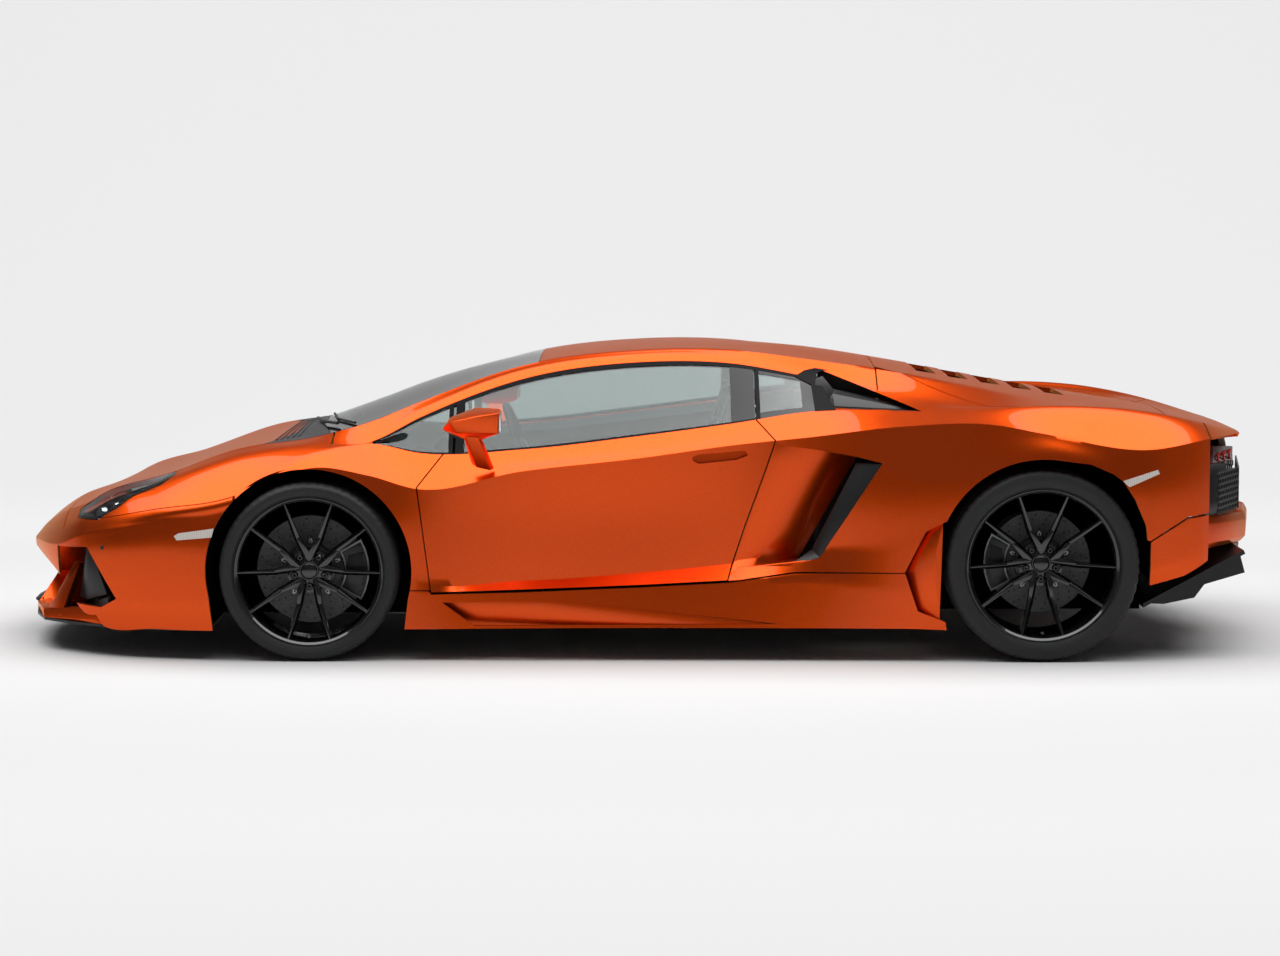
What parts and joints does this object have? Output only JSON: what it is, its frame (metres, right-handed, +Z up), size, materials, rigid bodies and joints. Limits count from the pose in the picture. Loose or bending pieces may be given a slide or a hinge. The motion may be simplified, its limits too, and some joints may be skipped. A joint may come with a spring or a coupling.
{
  "type": "supercar",
  "caption": "Low mid-engined two-seat sports car with upward-swinging doors, hinged lids, steered front wheels and a tilting tail spoiler.",
  "frame": {"origin": "on the floor, at the middle of the car's length and width", "axes": "+X forwards, +Y to the car's left, +Z up"},
  "size_m": [4.776, 2.256, 1.1371],
  "materials": {
    "body_paint": "pearl orange clear-coated paint",
    "satin_black_plastic": "satin black",
    "tinted_glass": "light tint",
    "composite_tub": "dark composite",
    "lamp_lens": "clear lens over black housing",
    "tail_lamp_lens": "smoked red lens",
    "steel_exhaust": "dark brushed",
    "cast_alloy": "cast",
    "black_leather": "smooth",
    "tyre_rubber": "matt",
    "rim_black": "gloss black",
    "disc_iron": "drilled, dark grey"
  },
  "bodies": {
    "chassis": {"tub": "composite_tub", "front_bumper": "body_paint", "front_wings": "body_paint", "headlamps": "lamp_lens", "cowl": "satin_black_plastic", "windscreen": "tinted_glass", "roof": "body_paint", "fixed_side_glass": "tinted_glass", "rear_quarters": "body_paint", "side_ducts": "satin_black_plastic", "sills": "body_paint", "tail_panel": "satin_black_plastic", "tail_lamps": "tail_lamp_lens", "rear_bumper": "body_paint", "diffuser": "satin_black_plastic", "exhaust": "steel_exhaust", "engine": "cast_alloy", "seats": "black_leather", "dashboard": "satin_black_plastic", "wishbones": "cast_alloy", "rear_uprights": "cast_alloy"},
    "bonnet": {"bonnet": "body_paint"},
    "engine_cover": {"engine_cover": "body_paint"},
    "tail_spoiler": {"tail_spoiler": "body_paint"},
    "steering_wheel": {"steering_wheel": "satin_black_plastic"},
    "door_left": {"door_left": "body_paint", "door_glass_left": "tinted_glass", "mirror_left": "body_paint"},
    "knuckle_left": {"front_knuckle_left": "cast_alloy"},
    "front_wheel_left": {"front_tyre_left": "tyre_rubber", "front_rim_left": "rim_black", "front_disc_left": "disc_iron"},
    "rear_wheel_left": {"rear_tyre_left": "tyre_rubber", "rear_rim_left": "rim_black", "rear_disc_left": "disc_iron"},
    "door_right": {"door_right": "body_paint", "door_glass_right": "tinted_glass", "mirror_right": "body_paint"},
    "knuckle_right": {"front_knuckle_right": "cast_alloy"},
    "front_wheel_right": {"front_tyre_right": "tyre_rubber", "front_rim_right": "rim_black", "front_disc_right": "disc_iron"},
    "rear_wheel_right": {"rear_tyre_right": "tyre_rubber", "rear_rim_right": "rim_black", "rear_disc_right": "disc_iron"}
  },
  "joints": [
    {"name": "steer_left", "type": "hinge", "parent": "chassis", "child": "knuckle_left", "pos_m": [1.23, 0.785, 0.3305], "axis": [0, 0, 1], "range_deg": [-30, 30]},
    {"name": "front_wheel_spin_left", "type": "hinge", "parent": "knuckle_left", "child": "front_wheel_left", "pos_m": [1.23, 0.85, 0.3305], "axis": [0, 1, 0], "continuous": true},
    {"name": "rear_wheel_spin_left", "type": "hinge", "parent": "chassis", "child": "rear_wheel_left", "pos_m": [-1.47, 0.838, 0.3555], "axis": [0, 1, 0], "continuous": true},
    {"name": "door_swing_left", "type": "hinge", "parent": "chassis", "child": "door_left", "pos_m": [0.935, 0.85, 0.7], "axis": [-0.094, 0.9397, -0.3289], "range_deg": [0, 75]},
    {"name": "steer_right", "type": "hinge", "parent": "chassis", "child": "knuckle_right", "pos_m": [1.23, -0.785, 0.3305], "axis": [0, 0, 1], "range_deg": [-30, 30]},
    {"name": "front_wheel_spin_right", "type": "hinge", "parent": "knuckle_right", "child": "front_wheel_right", "pos_m": [1.23, -0.85, 0.3305], "axis": [0, 1, 0], "continuous": true},
    {"name": "rear_wheel_spin_right", "type": "hinge", "parent": "chassis", "child": "rear_wheel_right", "pos_m": [-1.47, -0.838, 0.3555], "axis": [0, 1, 0], "continuous": true},
    {"name": "door_swing_right", "type": "hinge", "parent": "chassis", "child": "door_right", "pos_m": [0.935, -0.85, 0.7], "axis": [0.094, 0.9397, 0.3289], "range_deg": [0, 75]},
    {"name": "bonnet_swing", "type": "hinge", "parent": "chassis", "child": "bonnet", "pos_m": [1.335, 0, 0.812], "axis": [0, -1, 0], "range_deg": [0, 60]},
    {"name": "engine_cover_swing", "type": "hinge", "parent": "chassis", "child": "engine_cover", "pos_m": [-0.888, 0, 1.085], "axis": [0, 1, 0], "range_deg": [0, 50]},
    {"name": "tail_spoiler_tilt", "type": "hinge", "parent": "chassis", "child": "tail_spoiler", "pos_m": [-2.015, 0, 0.876], "axis": [0, 1, 0], "range_deg": [0, 11]},
    {"name": "steering_wheel_turn", "type": "hinge", "parent": "chassis", "child": "steering_wheel", "pos_m": [0.455, 0.4, 0.742], "axis": [-0.9272, 0, 0.3746], "range_deg": [-400, 400]}
  ],
  "couplings": [
    {"joint": "steer_right", "follows": "steer_left", "ratio": 1},
    {"joint": "steering_wheel_turn", "follows": "steer_left", "ratio": 13}
  ]
}
